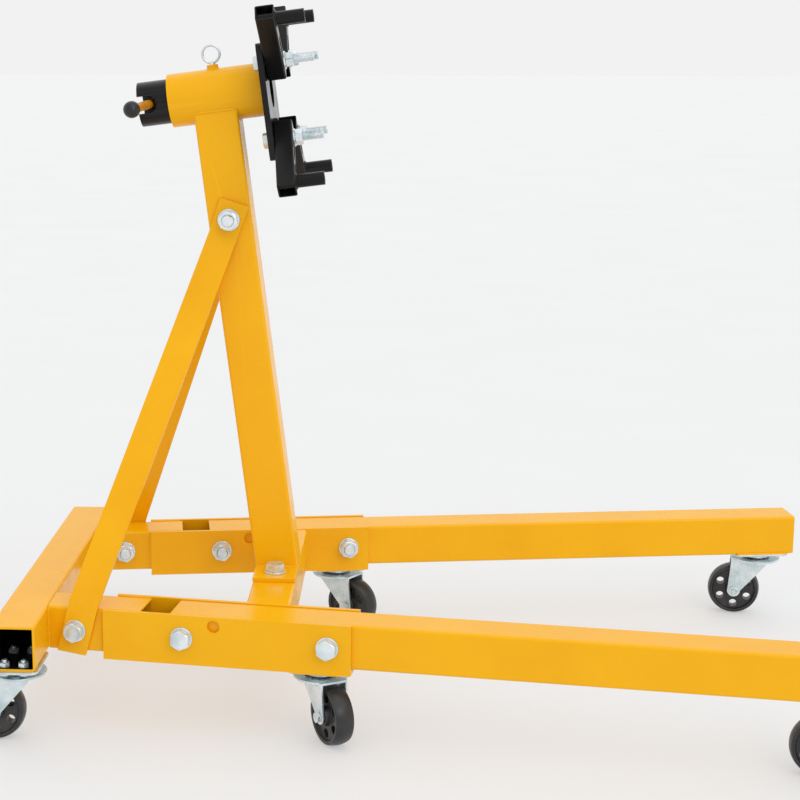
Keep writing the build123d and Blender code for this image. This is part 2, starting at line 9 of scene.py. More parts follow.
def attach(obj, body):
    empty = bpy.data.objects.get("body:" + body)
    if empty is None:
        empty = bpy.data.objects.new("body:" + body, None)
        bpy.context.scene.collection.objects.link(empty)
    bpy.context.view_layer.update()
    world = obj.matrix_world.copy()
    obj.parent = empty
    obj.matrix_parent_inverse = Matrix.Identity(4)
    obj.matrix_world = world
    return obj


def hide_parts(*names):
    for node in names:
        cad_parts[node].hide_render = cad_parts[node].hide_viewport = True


# Folding engine stand. Metres, +Z up, +X forward along the legs, +Y to the stand's left.

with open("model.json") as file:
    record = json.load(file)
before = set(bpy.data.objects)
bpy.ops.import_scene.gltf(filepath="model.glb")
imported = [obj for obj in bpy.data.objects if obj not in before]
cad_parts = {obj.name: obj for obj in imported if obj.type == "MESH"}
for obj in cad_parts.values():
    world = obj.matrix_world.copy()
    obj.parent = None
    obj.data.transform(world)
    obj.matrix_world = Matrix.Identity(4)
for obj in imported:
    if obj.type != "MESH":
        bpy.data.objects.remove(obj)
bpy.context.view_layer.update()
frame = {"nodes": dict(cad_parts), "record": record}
NODE_BODY = {n: body for body, nodes in frame["record"]["behaviour"]["bodies"].items() for n in nodes}
NODE_SLOT = {s["node"]: s["material_slot"] for s in frame["record"]["subparts"]}

# ---------------------------------------------------------------- dimensions, as in the CAD

MM = 0.001
SIDES = {"left": 1, "right": -1}

# Square tube of the crossbeams, stubs, legs and post.
HALF_TUBE = 30.0
BASE_Z = 105.0
TUBE_TOP = BASE_Z + 2 * HALF_TUBE
FOOT_Z = TUBE_TOP + 6.0
BOLT_Z = BASE_Z + HALF_TUBE

# Casters.
TRAIL = 32.0
WHEEL_RADIUS = 40.0
FORK_OUTSIDE = 39.0
CASTER_BOLTS = (25.0, 54.0)
PLATE_THICK = 3.0
TUBE_WALL = 3.0
BALLS = 10
BALL_RADIUS = 4.0
BALL_CIRCLE = 16.0
MID_TRAIL = {"left": -35.0, "right": -60.0}
FRONT_TRAIL = 172.0
REAR_TRAIL = 180.0

# Plan of the base, measured along X from the hub, and stations along a leg's centreline.
SPLAY = 8.25
LEG_Y = 221.5
BEAM_BACK = -353.0
BEAM_CASTER_Y = 258.0
CROSS_BACK = -30.0
BRACE_BOLT_AT = -283.0
STUB_WELD = (-243.0, -198.0)
PIVOT_AT = -136.0
MID_CASTER_AT = 44.0
LOCK_AT = 59.0
FRONT_CASTER_AT = 716.0
LEG_TIP = 766.0
CHANNEL_OUTSIDE = 73.0
CHANNEL_BOTTOM = 98.2
REAR_EDGE = BEAM_BACK - TRAIL - WHEEL_RADIUS
FRONT_EDGE = LEG_TIP * cos(radians(SPLAY)) + HALF_TUBE * sin(radians(SPLAY))
HUB_X = -(REAR_EDGE + FRONT_EDGE) / 2
BEAM_X = HUB_X + BEAM_BACK
CROSS_X = HUB_X + CROSS_BACK
FOOT_BOLT_Y = 57.0

# Post, braces and barrel.
LEAN = 7.25
FORWARD = Vector((cos(radians(LEAN)), 0, sin(radians(LEAN))))
UPWARD = Vector((-sin(radians(LEAN)), 0, cos(radians(LEAN))))
POST_BACK = Vector((HUB_X - 2 * HALF_TUBE, 0, 170.0))
BRACE_THICK = 6.0
HIGH_BOLT = (-93.5, 663.7)
BARREL_UP = 661.0
BARREL_RADIUS = 36.0
BOSS_WELD_RADIUS = 7.9

# Head, measured forwards from the post's rear face and outwards from the plate's centre.
BAR_AT = -59.5
BAR_RADIUS = 6.0
KNOB_AT = 172.0
KNOB_RADIUS = 11.0
PIN_AT = 31.0
EYE_UP = 55.5
EYE_RADIUS = 11.75
EYE_WIRE = 1.75
PLATE_DROP = 15.5
PLATE_BACK = 99.0
ARM_BACK = 107.3
ARM_TUBE = 25.0
ARM_BOLT_AT = 72.5
CLAMP_GRIP = ARM_BACK + ARM_TUBE - PLATE_BACK
CLAMP_SPARE = 28.0
SLEEVE_AT = 149.0
SLEEVE_WELD_RADIUS = 9.2
ARM_ANGLES = {"upper_left": 45.0, "upper_right": 135.0, "lower_right": 225.0, "lower_left": 315.0}

# Fasteners: shank radius, across flats, head, nut, washer radius and thickness, thread pitch.
M16 = (8.0, 24.0, 10.0, 13.0, 15.0, 3.0, 2.0)
M12 = (6.0, 19.0, 7.5, 10.0, 12.0, 2.5, 1.75)
M8 = (4.0, 13.0, 5.3, 6.5, 8.0, 1.6, 1.25)
SEAT = 0.05              # gap under each washer, head and nut
SPARE = 4.0              # end of a bolt past its nut
NUT_TURN = 14.0          # degrees that nuts are turned past their bolt's head
HEX_STEPS = 72           # points round a hexagon, six or a multiple of it
RIPPLE = 2.4             # spacing of a weld's ripples


def leg_point(side, along, across=0.0, height=0.0):
    """A point from a leg's own stations: along it, across it towards +Y, and up."""
    turn = radians(side * SPLAY)
    return Vector((
        HUB_X + along * cos(turn) - across * sin(turn),
        side * LEG_Y + along * sin(turn) + across * cos(turn),
        height,
    ))


def place(origin, x_dir, z_dir):
    """A matrix in millimetres for a face: its origin, x along x_dir, z along z_dir."""
    z = Vector(z_dir).normalized()
    x = Vector(x_dir).normalized()
    y = z.cross(x)
    matrix = Matrix((x, y, z)).transposed().to_4x4()
    matrix.translation = origin
    return matrix


def leg_side(side, along, height, outward):
    """A face along a leg, looking away from the stand's middle."""
    turn = radians(side * SPLAY)
    return place(
        leg_point(side, along, side * outward, height),
        (cos(turn), sin(turn), 0),
        (-side * sin(turn), side * cos(turn), 0),
    )


def head_point(forward, left=0.0, up=0.0):
    """A point from the barrel's axis: forwards along it, to the left, and up along the post."""
    return POST_BACK + UPWARD * (BARREL_UP + up) + FORWARD * forward + Vector((0, left, 0))


def on_diagonal(angle, radius, forward):
    """A point on one of the head plate's diagonals, and the direction outwards along it."""
    outwards = Vector((0, 1, 0)) * cos(radians(angle)) + UPWARD * sin(radians(angle))
    return head_point(forward, 0, -PLATE_DROP) + outwards * radius, outwards


def moved(matrix, z):
    """The same face, shifted along its own z."""
    return matrix @ Matrix.Translation((0, 0, z))


def flipped(matrix, depth=0.0):
    """The opposite face of the work, that far behind, looking the other way."""
    return moved(matrix, -depth) @ Matrix.Rotation(pi, 4, "X")


# ---------------------------------------------------------------- materials


class Nodes:
    """A material being wired up, with short names for the nodes used here."""

    def __init__(self, name):
        self.material = bpy.data.materials.new(name)
        self.material.use_nodes = True
        self.tree = self.material.node_tree
        self.shader = self.tree.nodes["Principled BSDF"]
        self.coords = self.tree.nodes.new("ShaderNodeTexCoord").outputs["Object"]

    def link(self, source, target):
        self.tree.links.new(source, target)

    def noise(self, scale, detail):
        node = self.tree.nodes.new("ShaderNodeTexNoise")
        node.inputs["Scale"].default_value = scale
        node.inputs["Detail"].default_value = detail
        self.link(self.coords, node.inputs["Vector"])
        return node.outputs["Fac"]

    def ramp(self, source, stops):
        node = self.tree.nodes.new("ShaderNodeValToRGB")
        elements = node.color_ramp.elements
        elements[0].position, elements[0].color = stops[0][0], (*stops[0][1], 1)
        elements[1].position, elements[1].color = stops[-1][0], (*stops[-1][1], 1)
        for position, colour in stops[1:-1]:
            elements.new(position).color = (*colour, 1)
        self.link(source, node.inputs["Fac"])
        return node.outputs["Color"]

    def range(self, source, low, high, start=0.3, end=0.7):
        node = self.tree.nodes.new("ShaderNodeMapRange")
        node.inputs["From Min"].default_value = start
        node.inputs["From Max"].default_value = end
        node.inputs["To Min"].default_value = low
        node.inputs["To Max"].default_value = high
        self.link(source, node.inputs["Value"])
        return node.outputs["Result"]

    def mix(self, factor, first, second):
        node = self.tree.nodes.new("ShaderNodeMix")
        node.data_type = "RGBA"
        self.link(factor, node.inputs[0])
        for value, socket in ((first, node.inputs[6]), (second, node.inputs[7])):
            if isinstance(value, tuple):
                socket.default_value = (*value, 1)
            else:
                self.link(value, socket)
        return node.outputs[2]

    # Pointiness mask of convex edges, along which a highlight is painted into the colour.
    def edges(self, start=0.52, end=0.60):
        geometry = self.tree.nodes.new("ShaderNodeNewGeometry")
        return self.range(geometry.outputs["Pointiness"], 0.0, 1.0, start, end)

    def bump(self, height, strength, distance, normal=None):
        node = self.tree.nodes.new("ShaderNodeBump")
        node.inputs["Strength"].default_value = strength
        node.inputs["Distance"].default_value = distance
        self.link(height, node.inputs["Height"])
        if normal is not None:
            self.link(normal, node.inputs["Normal"])
        return node.outputs["Normal"]

    def finish(self, colour, roughness, normal, **constants):
        self.link(colour, self.shader.inputs["Base Color"])
        self.link(roughness, self.shader.inputs["Roughness"])
        self.link(normal, self.shader.inputs["Normal"])
        for name, value in constants.items():
            self.shader.inputs[name.replace("_", " ")].default_value = value
        return self.material


def powder_coat(name, dark, base, light, rough, gloss=0.25, peel=0.10):
    """Gloss powder coat: broad cloudiness, orange peel, fine dust nibs, and convex edges lightened as a
    painted highlight.
    """
    n = Nodes(name)
    cloud = n.ramp(n.noise(9.0, 4.0), [(0.30, dark), (0.52, base), (0.74, light)])
    # Convex edges mixed towards the palest tone: painted highlight.
    colour = n.mix(n.edges(), cloud, light)
    specks = n.range(n.noise(900.0, 2.0), 0.0, 1.0, 0.70, 0.78)
    colour = n.mix(n.range(specks, 0.0, 0.16, 0.0, 1.0), colour, dark)
    roughness = n.range(n.noise(30.0, 5.0), rough * 0.80, rough * 1.25)
    skin = n.bump(n.noise(420.0, 2.0), peel, 0.0004)
    waves = n.bump(n.noise(60.0, 2.0), 0.05, 0.001, skin)
    return n.finish(colour, roughness, waves, Specular_IOR_Level=gloss, IOR=1.45)


def plated(name, dark, base, light, rough, metal=1.0):
    """Plated steel: passivation clouds, rolling grain, handling marks, and convex edges lightened as a
    painted highlight.
    """
    n = Nodes(name)
    cloud = n.ramp(n.noise(45.0, 5.0), [(0.32, dark), (0.50, base), (0.70, light)])
    # Convex edges mixed towards the palest tone: painted highlight.
    colour = n.mix(n.edges(0.53, 0.62), cloud, light)
    streaks = n.noise(120.0, 6.0)
    roughness = n.range(streaks, rough * 0.7, rough * 1.4)
    fine = n.bump(streaks, 0.08, 0.0003)
    dents = n.bump(n.noise(260.0, 3.0), 0.07, 0.0004, fine)
    return n.finish(colour, roughness, dents, Metallic=metal)


def moulded(name, dark, base, light, rough, grain):
    """Moulded plastic: fine spark texture, flow clouds, paler scuffs, and convex edges lightened as a
    painted highlight.
    """
    n = Nodes(name)
    cloud = n.ramp(n.noise(35.0, 4.0), [(0.30, dark), (0.52, base), (0.75, light)])
    scuffs = n.range(n.noise(140.0, 8.0), 0.0, 0.5, 0.60, 0.75)
    colour = n.mix(scuffs, cloud, light)
    # Convex edges mixed towards the palest tone: painted highlight.
    colour = n.mix(n.edges(0.53, 0.62), colour, light)
    roughness = n.range(n.noise(80.0, 5.0), rough * 0.8, rough * 1.3)
    texture = n.bump(n.noise(1400.0, 3.0), grain, 0.0002)
    return n.finish(colour, roughness, texture, IOR=1.49)


MATERIALS = {
    "yellow_paint": powder_coat(
        "yellow_powder_coat", (0.85, 0.400, 0.001), (0.88, 0.432, 0.002), (0.91, 0.462, 0.004), 0.24
    ),
    "black_paint": powder_coat(
        "black_powder_coat", (0.004, 0.004, 0.004), (0.006, 0.006, 0.006), (0.014, 0.014, 0.015), 0.20
    ),
    "orange_paint": powder_coat(
        "orange_rod", (0.50, 0.18, 0.004), (0.60, 0.23, 0.006), (0.70, 0.30, 0.010), 0.28
    ),
    "zinc": plated("zinc_plate", (0.50, 0.60, 0.64), (0.64, 0.73, 0.76), (0.84, 0.89, 0.91), 0.22, 0.72),
    "ball_steel": plated("polished_steel", (0.55, 0.55, 0.56), (0.70, 0.70, 0.71), (0.80, 0.80, 0.80), 0.12),
    "black_plastic": moulded(
        "wheel_plastic", (0.012, 0.012, 0.013), (0.019, 0.019, 0.020), (0.040, 0.040, 0.042), 0.36, 0.14
    ),
    "gloss_black_plastic": moulded(
        "knob_plastic", (0.006, 0.006, 0.007), (0.009, 0.009, 0.010), (0.018, 0.018, 0.020), 0.16, 0.03
    ),
}
# Inside of the tubes: bare steel, darkened to near black as painted shade of the hollow.
BARE_INSIDE_WITH_PAINTED_SHADE = plated(
    "uncoated_inside_with_painted_shade", (0.010, 0.009, 0.008), (0.018, 0.016, 0.014), (0.035, 0.030, 0.026), 0.6
)

# ---------------------------------------------------------------- mesh building


def finish_piece(name, bm, body, slot, sharp, replaced=()):
    """Turns a bmesh in metres into a piece with a body, a finish and clean shading."""
    bmesh.ops.recalc_face_normals(bm, faces=bm.faces)
    mesh = bpy.data.meshes.new(name)
    bm.to_mesh(mesh)
    bm.free()
    mesh.materials.append(MATERIALS[slot])
    mesh.polygons.foreach_set("use_smooth", [True] * len(mesh.polygons))
    mesh.set_sharp_from_angle(angle=radians(sharp))
    piece = bpy.data.objects.new(name, mesh)
    bpy.context.scene.collection.objects.link(piece)
    weighted = piece.modifiers.new("weighted", "WEIGHTED_NORMAL")
    weighted.keep_sharp = True
    weighted.weight = 80
    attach(piece, body)
    if replaced:
        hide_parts(*replaced)
    return piece


def refined(node, width, segments=2, angle=32.0, axis=None, reach=38.5):
    """The same part as the CAD node, with its flat faces merged and its corners rounded over.

    axis is a tube's centreline, a point and a direction in millimetres: faces that look at it
    from closer than reach get the near-black inside, bare steel darkened as painted shade of the hollow.
    """
    bm = bmesh.new()
    bm.from_mesh(frame["nodes"][node].data)
    bmesh.ops.remove_doubles(bm, verts=bm.verts, dist=2e-6)
    bmesh.ops.dissolve_limit(bm, angle_limit=radians(0.6), verts=bm.verts, edges=bm.edges)
    bm.normal_update()
    corners = [
        edge for edge in bm.edges
        if len(edge.link_faces) == 2 and edge.calc_face_angle(0.0) > radians(angle)
    ]
    bmesh.ops.bevel(
        bm, geom=corners, offset=width * MM, offset_type="OFFSET", segments=segments,
        profile=0.5, affect="EDGES", clamp_overlap=True,
    )
    if axis:
        start, along = axis[0] * MM, Vector(axis[1]).normalized()
        for face in bm.faces:
            offset = face.calc_center_median() - start
            offset -= along * offset.dot(along)
            across = face.normal - along * face.normal.dot(along)
            if across.length > 0.5 and across.dot(offset) < 0 and offset.length < reach * MM:
                # Inside faces take the near-black material: painted shade of the hollow.
                face.material_index = 1
    piece = finish_piece(node + "_part", bm, NODE_BODY[node], NODE_SLOT[node], 40.0, (node,))
    if axis:
        piece.data.materials.append(BARE_INSIDE_WITH_PAINTED_SHADE)
    return piece


def add_rings(bm, matrix, rings, closed=False):
    """Skins rings of (x, y, z) in millimetres: closed joins the last to the first, else both are capped."""
    loops = [[bm.verts.new((matrix @ Vector(p)) * MM) for p in ring] for ring in rings]
    if closed:
        loops.append(loops[0])
    count = len(loops[0])
    for low, high in zip(loops, loops[1:]):
        for i in range(count):
            j = (i + 1) % count
            bm.faces.new((low[i], low[j], high[j], high[i]))
    if not closed:
        bm.faces.new(list(reversed(loops[0])))
        bm.faces.new(loops[-1])


def circle(radius, z, count=40):
    """Points round a circle at height z, in millimetres."""
    return [(radius * cos(2 * pi * i / count), radius * sin(2 * pi * i / count), z) for i in range(count)]


def add_lathe(bm, matrix, profile, count=40, closed=False):
    """Turns an (r, z) profile about the matrix's z. A closed profile makes a ring."""
    add_rings(bm, matrix, [circle(max(r, 1e-4), z, count) for r, z in profile], closed)


def hex_radius(angle, flats):
    """How far a hexagon reaches in a direction, its corners slightly rounded off."""
    corner = (angle + pi / 6) % (pi / 3) - pi / 6
    return min(flats / 2 / cos(corner), flats / 2 / cos(pi / 6) * 0.985)


def hex_ring(flats, level):
    """A ring round a hexagon; level gives the height for the radius there."""
    ring = []
    for i in range(HEX_STEPS):
        angle = 2 * pi * i / HEX_STEPS
        radius = hex_radius(angle, flats)
        ring.append((radius * cos(angle), radius * sin(angle), level(radius)))
    return ring


def add_hex(bm, matrix, flats, height, hole=0.0):
    """Hexagon with the round chamfers of a forged head or nut, solid or bored."""
    def ring(radius, z):
        return circle(radius, z, HEX_STEPS)

    face = flats / 2 * 0.95
    slope = tan(radians(30))
    top = hex_ring(flats, lambda r: height - (r - face) * slope)
    if hole:
        low = hex_ring(flats, lambda r: (r - face) * slope)
        rings = [
            ring(hole, 0.8), ring(hole + 0.8, 0), ring(face, 0), low, top,
            ring(face, height), ring(hole + 0.8, height), ring(hole, height - 0.8),
        ]
        add_rings(bm, matrix, rings, closed=True)
        return
    rings = [
        ring(face * 0.97, 0), ring(face * 0.97, 0.4), hex_ring(flats, lambda r: 0.4), top,
        ring(face, height), ring(face * 0.9, height - 0.15), ring(face * 0.5, height - 0.3),
    ]
    add_rings(bm, matrix, rings)


def add_washer(bm, matrix, inner, outer, thick):
    """A flat washer with rounded edges, standing on the face."""
    r = 0.35
    profile = [
        (inner, r), (inner + r, 0), (outer - r, 0), (outer, r),
        (outer, thick - r), (outer - r, thick), (inner + r, thick), (inner, thick - r),
    ]
    add_lathe(bm, matrix, profile, 56, closed=True)


def add_thread(bm, matrix, radius, pitch, low, high):
    """A helical thread from low down to high, its end chamfered, running along -z."""
    count = 36
    rows = max(6, int((high - low) / pitch * 6))
    depth = pitch * 0.45
    rings = []
    for row in range(rows + 1):
        z = low + (high - low) * row / rows
        ring = []
        for i in range(count):
            phase = (z / pitch - i / count) % 1.0
            dip = depth * (1 - abs(2 * phase - 1))
            taper = min(1.0, (high - z) / (pitch * 0.9))
            r = min(radius - dip, radius - depth * 1.1 * (1 - taper))
            angle = 2 * pi * i / count
            ring.append((r * cos(angle), -r * sin(angle), -z))
        rings.append(ring)
    add_rings(bm, matrix, rings)


def add_bolt(bm, face, size, shank, thread, washer=True):
    """A bolt in a face; shank is its depth behind the face, thread the length cut on its end."""
    radius, flats, head, _, washer_radius, thick, pitch = size
    seat = SEAT
    if washer:
        add_washer(bm, moved(face, seat), radius + 0.4, washer_radius, thick)
        seat += thick + SEAT
    add_hex(bm, moved(face, seat), flats, head)
    plain = shank - thread
    add_lathe(bm, face, [(radius, seat + 0.2), (radius, -plain)], 36)
    add_thread(bm, face, radius, pitch, plain - 0.01, shank)


def add_nut(bm, face, size, washer=True):
    """A nut on a face, over its washer if it has one."""
    radius, flats, _, height, washer_radius, thick, _ = size
    seat = SEAT
    if washer:
        add_washer(bm, moved(face, seat), radius + 0.4, washer_radius, thick)
        seat += thick + SEAT
    turned = moved(face, seat) @ Matrix.Rotation(radians(NUT_TURN), 4, "Z")
    add_hex(bm, turned, flats, height, radius - 0.1)


def through_bolt(bm, face, size, grip):
    """A bolt from a face through work as thick as grip, with its nut on the other side."""
    nut, washer = size[3], size[5]
    add_bolt(bm, face, size, grip + washer + nut + SPARE, nut + washer + SPARE + 6.0)
    add_nut(bm, flipped(face, grip), size)


def add_bead(bm, points, radius, closed=False):
    """A weld bead along points in millimetres, with the ripples of a hand-made weld."""
    dense = []
    pairs = list(zip(points, points[1:] + points[:1])) if closed else list(zip(points, points[1:]))
    for start, end in pairs:
        steps = max(1, int((end - start).length / 0.6))
        dense += [start.lerp(end, i / steps) for i in range(steps)]
    if not closed:
        dense.append(points[-1])
    rings = []
    travelled = 0.0
    last = dense[0]
    side = None
    for i, point in enumerate(dense):
        travelled += (point - last).length
        last = point
        if closed:
            ahead, behind = dense[(i + 1) % len(dense)], dense[i - 1]
        else:
            ahead, behind = dense[min(i + 1, len(dense) - 1)], dense[max(i - 1, 0)]
        along = (ahead - behind).normalized()
        if side is None:
            side = along.orthogonal().normalized()
        side = (side - along * side.dot(along)).normalized()
        up = along.cross(side)
        size = radius * (1 + 0.10 * abs(sin(pi * travelled / RIPPLE)) + 0.05 * sin(travelled / 7.1))
        if not closed and (i == 0 or i == len(dense) - 1):
            size *= 0.45
        rings.append([point + side * x + up * y for x, y, _ in circle(size, 0, 10)])
    add_rings(bm, Matrix.Identity(4), rings, closed)


# ---------------------------------------------------------------- painted steelwork

refined("rear_crossbeam", 0.5, axis=(Vector((BEAM_X, 0, BOLT_Z)), (0, 1, 0)))
refined("cross_tube", 0.5, axis=(Vector((CROSS_X, 0, BOLT_Z)), (0, 1, 0)))
refined("post", 0.5, axis=(POST_BACK + FORWARD * HALF_TUBE, UPWARD))
for name, side in SIDES.items():
    centreline = (leg_point(side, 0, 0, BOLT_Z), leg_point(side, 1, 0, 0) - leg_point(side, 0, 0, 0))
    refined("stub_" + name, 0.5)
    refined("leg_" + name, 0.5, axis=centreline)
for node in ("channel_left", "channel_right"):
    refined(node, 0.9, 3)
for node in ("post_foot_plate", "brace_left", "brace_right"):
    refined(node, 0.8, 3)
for node in ("barrel", "head_plate", "spindle_tube"):
    refined(node, 0.8, 3)
for name, angle in ARM_ANGLES.items():
    spot, outwards = on_diagonal(angle, 0.0, ARM_BACK + ARM_TUBE / 2)
    refined("arm_" + name, 0.5, axis=(spot, outwards), reach=14.9)

# ---------------------------------------------------------------- casters

for end in ("rear", "mid", "front"):
    for name in SIDES:
        caster = f"{end}_{name}"
        refined("fork_" + caster, 0.6, 3)
        refined("wheel_" + caster, 0.8, 3)
refined("frame_caster_plates", 0.6, 3)
for name in SIDES:
    refined("leg_caster_plate_" + name, 0.6, 3)

# name: swivel's place, level of the plate's top, heading of the trail
CASTERS = {}
for name, side in SIDES.items():
    CASTERS["rear_" + name] = (Vector((BEAM_X, side * BEAM_CASTER_Y, 0)), BASE_Z, REAR_TRAIL)
    CASTERS["mid_" + name] = (leg_point(side, MID_CASTER_AT), CHANNEL_BOTTOM, MID_TRAIL[name])
    CASTERS["front_" + name] = (leg_point(side, FRONT_CASTER_AT), BASE_Z, FRONT_TRAIL)

for caster, (swivel, _, trail) in CASTERS.items():
    back = Vector((cos(radians(trail)), sin(radians(trail)), 0))
    side_way = Vector((back.y, -back.x, 0))
    hub = Vector((swivel.x, swivel.y, WHEEL_RADIUS)) + back * TRAIL
    face = place(hub + side_way * FORK_OUTSIDE / 2, back, side_way)
    bm = bmesh.new()
    add_bolt(bm, face, M8, FORK_OUTSIDE + M8[3] + 2.0, M8[3] + 2.0, washer=False)
    add_nut(bm, flipped(face, FORK_OUTSIDE), M8, washer=False)
    bush = [(4.3, -35.9), (6.0, -35.9), (6.0, -3.1), (4.3, -3.1)]
    add_lathe(bm, face, bush, 40, closed=True)
    node = "caster_axle_" + caster
    finish_piece(node + "_part", bm, NODE_BODY[node], "zinc", 35.0, (node,))


def swivel_balls(casters, node):
    """The rings of balls between the plates and the forks of some casters, as one piece."""
    arc = [radians(a) for a in range(-85, 86, 10)]
    profile = [(BALL_RADIUS * cos(a), BALL_RADIUS * sin(a)) for a in arc]
    bm = bmesh.new()
    for caster in casters:
        swivel, top, _ = CASTERS[caster]
        for x, y, z in circle(BALL_CIRCLE, top - PLATE_THICK - BALL_RADIUS, BALLS):
            add_lathe(bm, Matrix.Translation((swivel.x + x, swivel.y + y, z)), profile, 20)
    finish_piece(node + "_part", bm, NODE_BODY[node], "ball_steel", 35.0, (node,))


swivel_balls([c for c in CASTERS if not c.startswith("front")], "frame_swivel_balls")
for name in SIDES:
    swivel_balls(["front_" + name], "leg_swivel_balls_" + name)

# ---------------------------------------------------------------- bolts

bm = bmesh.new()
for name in SIDES:
    swivel = CASTERS["rear_" + name][0]
    for x in (-CASTER_BOLTS[0] / 2, CASTER_BOLTS[0] / 2):
        for y in (-CASTER_BOLTS[1] / 2, CASTER_BOLTS[1] / 2):
            spot = Vector((swivel.x + x, swivel.y + y, BASE_Z - PLATE_THICK))
            face = place(spot, (1, 0, 0), (0, 0, -1))
            grip = PLATE_THICK + TUBE_WALL
            add_bolt(bm, face, M8, grip + M8[3] + 3.0, 9.0, washer=False)
            add_nut(bm, flipped(face, grip), M8, washer=False)
finish_piece("rear_caster_bolts_part", bm, "frame", "zinc", 35.0, ("rear_caster_bolts",))

bm = bmesh.new()
for y in (-FOOT_BOLT_Y, FOOT_BOLT_Y):
    face = place(Vector((CROSS_X, y, FOOT_Z)), (1, 0, 0), (0, 0, 1))
    through_bolt(bm, face, M16, FOOT_Z - TUBE_TOP + TUBE_WALL)
finish_piece("foot_bolts_part", bm, "frame", "zinc", 35.0, ("foot_bolts",))

bm = bmesh.new()
for side in SIDES.values():
    outer = leg_side(side, BRACE_BOLT_AT, BOLT_Z, HALF_TUBE + BRACE_THICK)
    through_bolt(bm, outer, M16, 2 * HALF_TUBE + BRACE_THICK)
left_brace = Vector((HUB_X + HIGH_BOLT[0], HALF_TUBE + BRACE_THICK, HIGH_BOLT[1]))
through_bolt(bm, place(left_brace, (1, 0, 0), (0, 1, 0)), M16, 2 * (HALF_TUBE + BRACE_THICK))
finish_piece("brace_bolts_part", bm, "frame", "zinc", 35.0, ("brace_bolts",))

bm = bmesh.new()
for side in SIDES.values():
    through_bolt(bm, leg_side(side, PIVOT_AT, BOLT_Z, CHANNEL_OUTSIDE / 2), M16, CHANNEL_OUTSIDE)
finish_piece("leg_pivot_bolts_part", bm, "frame", "zinc", 35.0, ("leg_pivot_bolts",))

bm = bmesh.new()
for side in SIDES.values():
    add_nut(bm, flipped(leg_side(side, LOCK_AT, BOLT_Z, CHANNEL_OUTSIDE / 2), CHANNEL_OUTSIDE), M16)
finish_piece("lock_nuts_part", bm, "frame", "zinc", 35.0, ("lock_nuts",))

for name, side in SIDES.items():
    bm = bmesh.new()
    outer = leg_side(side, LOCK_AT, BOLT_Z, CHANNEL_OUTSIDE / 2)
    add_bolt(bm, outer, M16, CHANNEL_OUTSIDE + M16[5] + M16[3] + SPARE, 26.0)
    node = "lock_bolt_" + name
    finish_piece(node + "_part", bm, node, "zinc", 35.0, (node,))


for name, angle in ARM_ANGLES.items():
    spot, outwards = on_diagonal(angle, ARM_BOLT_AT, PLATE_BACK)
    face = place(spot, outwards, -FORWARD)
    bm = bmesh.new()
    add_bolt(bm, face, M12, CLAMP_GRIP + M12[5] + M12[3] + CLAMP_SPARE, 42.0, washer=False)
    add_nut(bm, flipped(face, CLAMP_GRIP), M12)
    node = "clamp_bolt_" + name
    finish_piece(node + "_part", bm, node, "zinc", 35.0, (node,))

# ---------------------------------------------------------------- turning bar and lock pin

bar = place(head_point(BAR_AT), FORWARD, (0, 1, 0))
rod_end = [(BAR_RADIUS, KNOB_AT + 3.0), (BAR_RADIUS - 0.3, KNOB_AT + 3.7), (BAR_RADIUS - 1.0, KNOB_AT + 4.0)]
bm = bmesh.new()
add_lathe(bm, bar, [(r, -z) for r, z in reversed(rod_end)] + rod_end, 40)
finish_piece("turning_bar_part", bm, "turning_bar", "orange_paint", 40.0, ("turning_bar",))

bm = bmesh.new()
for end in (-1, 1):
    # Moulded ball, hollow for the rod, with a lip at its mouth and a parting line round its middle.
    arc = [radians(a) for a in range(-50, 85, 3)]
    ball = [(KNOB_RADIUS * cos(a), KNOB_RADIUS * sin(a)) for a in arc]
    seam = [(r - 0.12 if abs(z) < 0.4 else r, z) for r, z in ball]
    profile = [(6.05, -4.0), (6.05, -9.6), (6.5, -10.0), (7.4, -9.6)] + seam + [(0.8, 10.99)]
    knob = moved(bar, end * KNOB_AT)
    if end < 0:
        knob = knob @ Matrix.Rotation(pi, 4, "X")
    add_lathe(bm, knob, profile, 48)
finish_piece("bar_knobs_part", bm, "turning_bar", "gloss_black_plastic", 40.0, ("bar_knobs",))

pin = place(head_point(PIN_AT), FORWARD, UPWARD)
bm = bmesh.new()
shank = [(2.6, 22.0), (3.6, 22.8), (4.0, 24.2), (4.0, 43.2), (2.6, 44.2)]
add_lathe(bm, pin, shank, 32)
eye = place(head_point(PIN_AT, 0, EYE_UP), FORWARD, (0, -1, 0))
rings = []
for i in range(72):
    turn = 2 * pi * i / 72
    wire = [(EYE_RADIUS + r, z) for r, z, _ in circle(EYE_WIRE, 0, 16)]
    rings.append([(r * cos(turn), r * sin(turn), z) for r, z in wire])
add_rings(bm, eye, rings, closed=True)
finish_piece("lock_pin_part", bm, "lock_pin", "zinc", 50.0, ("lock_pin",))

# ---------------------------------------------------------------- welds

WELD_HEIGHT = (BASE_Z + 3.0, TUBE_TOP - 3.0)


def upright_bead(bm, side, along, across):
    """A weld up a tube's end face, at a place given from a leg's own stations."""
    foot = leg_point(side, along, across, WELD_HEIGHT[0])
    add_bead(bm, [foot, foot + Vector((0, 0, WELD_HEIGHT[1] - WELD_HEIGHT[0]))], 1.8)


def bead_along(bm, side, stations, across, height, radius):
    """A weld along a leg between two stations."""
    ends = [leg_point(side, station, across, height) for station in stations]
    add_bead(bm, ends, radius)


